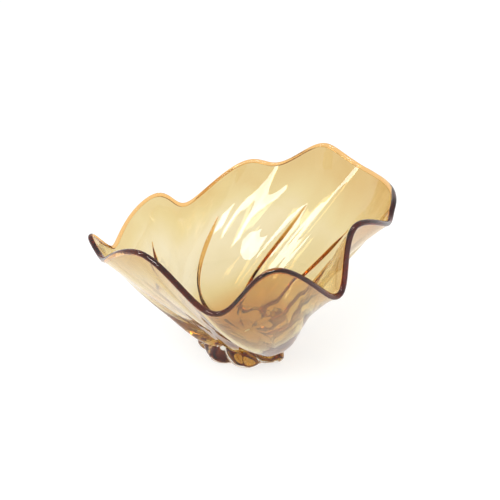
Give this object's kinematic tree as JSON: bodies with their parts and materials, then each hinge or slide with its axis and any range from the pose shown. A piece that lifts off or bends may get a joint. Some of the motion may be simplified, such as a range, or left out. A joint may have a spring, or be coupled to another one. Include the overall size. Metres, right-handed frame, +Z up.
{
  "type": "art glass bowl",
  "caption": "Ruffled art glass bowl in amber and clear glass, with twisted pleats, a rounded darker lip and a heavy lobed clear foot.",
  "frame": {"origin": "centre of the flat ground face the bowl stands on", "axes": "+Z up; -Y towards the front; +X to the right seen from the front, with the lowest dip of the rim on the left"},
  "size_m": [0.2966, 0.3182, 0.1838],
  "materials": {
    "clear_glass": "fire polished, ground flat underneath",
    "amber_glass": "fire polished",
    "rib_glass": "fire polished",
    "lip_glass": "fire polished"
  },
  "bodies": {
    "root": {"clear_core": "clear_glass", "foot_lobe_1": "clear_glass", "foot_lobe_2": "clear_glass", "foot_lobe_3": "clear_glass", "foot_lobe_4": "clear_glass", "foot_lobe_5": "clear_glass", "foot_lobe_6": "clear_glass", "foot_lobe_7": "clear_glass", "foot_lobe_8": "clear_glass", "amber_bowl": "amber_glass", "rib_1": "rib_glass", "rib_2": "rib_glass", "rib_3": "rib_glass", "rib_4": "rib_glass", "rib_5": "rib_glass", "rib_6": "rib_glass", "rib_7": "rib_glass", "rib_8": "rib_glass", "amber_lip": "lip_glass"}
  },
  "joints": []
}
